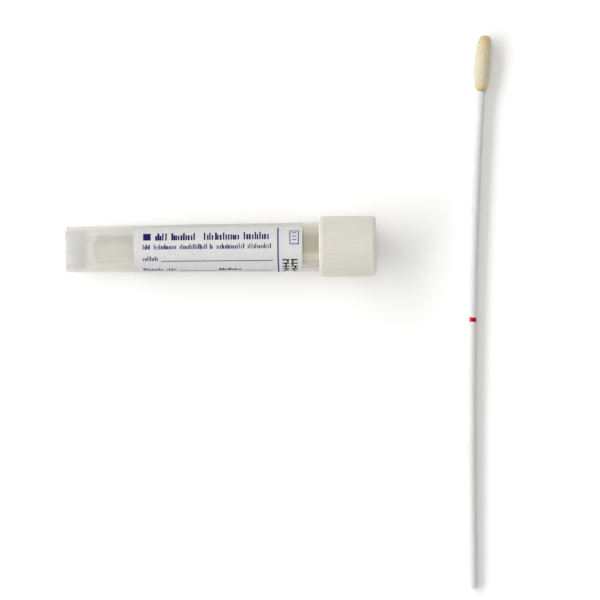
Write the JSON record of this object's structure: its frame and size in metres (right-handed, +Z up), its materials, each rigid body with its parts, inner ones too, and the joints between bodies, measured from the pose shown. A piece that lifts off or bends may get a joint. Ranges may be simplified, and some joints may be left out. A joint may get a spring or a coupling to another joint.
{
  "type": "specimen swab tube",
  "caption": "Screw-capped clear transport tube with a wraparound label and a little liquid, lying on its side beside its flocked swab, whose shaft has a breaking notch.",
  "frame": {"origin": "on the surface that the set lies on, below the middle of the set's box", "axes": "+X along the tube towards its cap, +Y along the swab towards its flocked tip, +Z up"},
  "size_m": [0.1168, 0.1516, 0.0171],
  "materials": {
    "clear_polypropylene": "satin",
    "milky_cap_plastic": "satin",
    "label_film": "satin",
    "transport_liquid": "gloss",
    "white_shaft_plastic": "satin",
    "flock_fibre": "matte"
  },
  "bodies": {
    "tube_and_swab": {"tube": "clear_polypropylene", "label": "label_film", "transport_liquid": "transport_liquid", "swab_shaft": "white_shaft_plastic", "flocked_tip": "flock_fibre"},
    "screw_cap": {"cap": "milky_cap_plastic"}
  },
  "joints": [
    {"name": "cap_lift", "type": "slide", "parent": "tube_and_swab", "child": "screw_cap", "axis": [0.9995, 0.0113, 0.0296], "range_m": [0, 0.022]}
  ]
}
